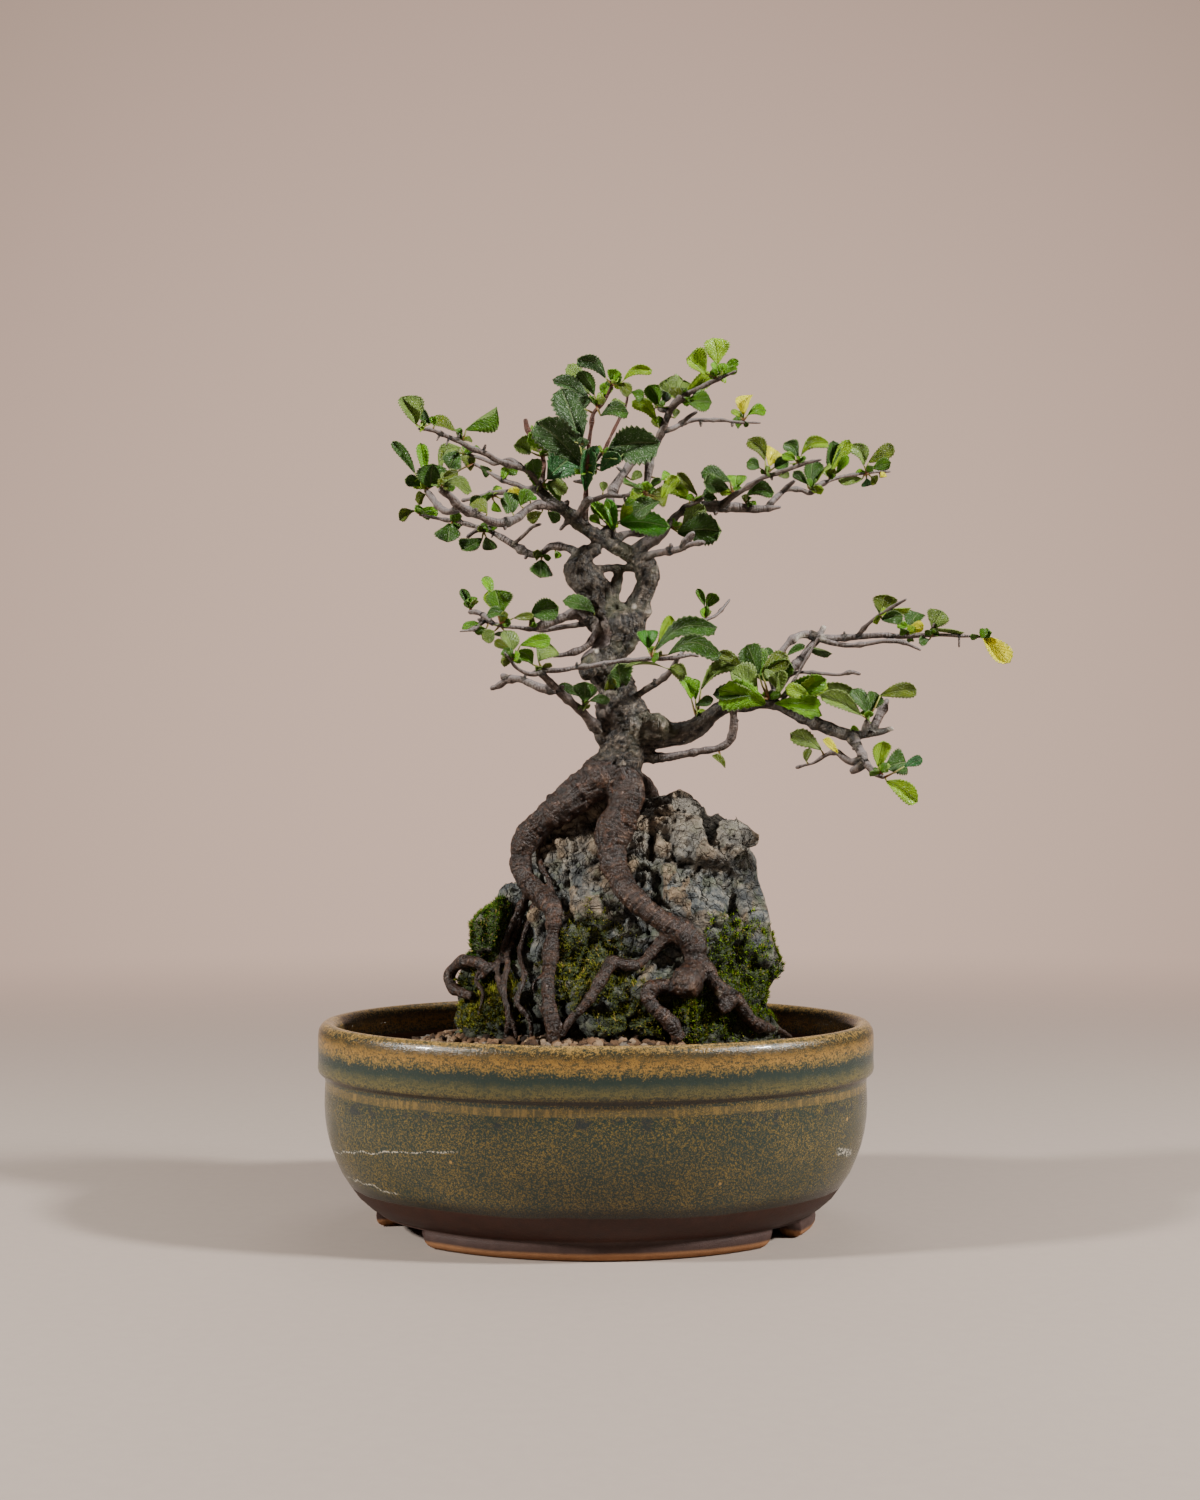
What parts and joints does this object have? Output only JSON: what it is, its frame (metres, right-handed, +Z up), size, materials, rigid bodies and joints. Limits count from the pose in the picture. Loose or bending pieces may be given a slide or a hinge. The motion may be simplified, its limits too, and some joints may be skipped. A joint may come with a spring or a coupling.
{
  "type": "quince bonsai",
  "caption": "Root-over-rock bonsai with twisted trunk, twiggy crown and small leaf sprays, in an oval glazed pot on a notched foot.",
  "frame": {"origin": "on the surface that the pot stands on, under the middle of the whole plant's box; the pot's own centre lies 28.4 mm towards -X of it", "axes": "+Z up, -Y towards the viewer of the front, +X to the viewer's right along the pot's length"},
  "size_m": [0.2872, 0.1844, 0.3692],
  "materials": {
    "glaze": "speckled olive glaze over bare red-brown clay at the foot",
    "soil": "loose baked clay grains, matte",
    "rock": "rough, craggy",
    "moss": "short soft moss",
    "bark": "grey-brown bark, rough on the trunk, smooth on twigs",
    "leaf": "smooth, slightly glossy leaf",
    "net": "matte",
    "wire": "satin"
  },
  "bodies": {
    "root": {"pot": "glaze", "drain_mesh_left": "net", "mesh_clip_left": "wire", "drain_mesh_right": "net", "mesh_clip_right": "wire", "soil": "soil", "rock": "rock", "moss_upper_left": "moss", "moss_lower_left": "moss", "moss_centre": "moss", "moss_right": "moss", "tree": "bark", "leaf_spray_01": "leaf", "leaf_spray_02": "leaf", "leaf_spray_03": "leaf", "leaf_spray_04": "leaf", "leaf_spray_05": "leaf", "leaf_spray_06": "leaf", "leaf_spray_07": "leaf", "leaf_spray_08": "leaf", "leaf_spray_09": "leaf", "leaf_spray_10": "leaf", "leaf_spray_11": "leaf", "leaf_spray_12": "leaf", "leaf_spray_13": "leaf", "leaf_spray_14": "leaf", "leaf_spray_15": "leaf", "leaf_spray_16": "leaf", "leaf_spray_17": "leaf", "leaf_spray_18": "leaf", "leaf_spray_19": "leaf", "leaf_spray_20": "leaf", "leaf_spray_21": "leaf", "leaf_spray_22": "leaf", "leaf_spray_23": "leaf", "leaf_spray_24": "leaf", "leaf_spray_25": "leaf", "leaf_spray_26": "leaf", "leaf_spray_27": "leaf", "leaf_spray_28": "leaf", "leaf_spray_29": "leaf", "leaf_spray_30": "leaf", "leaf_spray_31": "leaf", "leaf_spray_32": "leaf", "leaf_spray_33": "leaf", "leaf_spray_34": "leaf", "leaf_spray_35": "leaf", "leaf_spray_36": "leaf", "leaf_spray_37": "leaf", "leaf_spray_38": "leaf", "leaf_spray_39": "leaf", "leaf_spray_40": "leaf", "leaf_spray_41": "leaf", "leaf_spray_42": "leaf", "leaf_spray_43": "leaf", "leaf_spray_44": "leaf", "leaf_spray_45": "leaf", "leaf_spray_46": "leaf", "leaf_spray_47": "leaf", "leaf_spray_48": "leaf"}
  },
  "joints": []
}
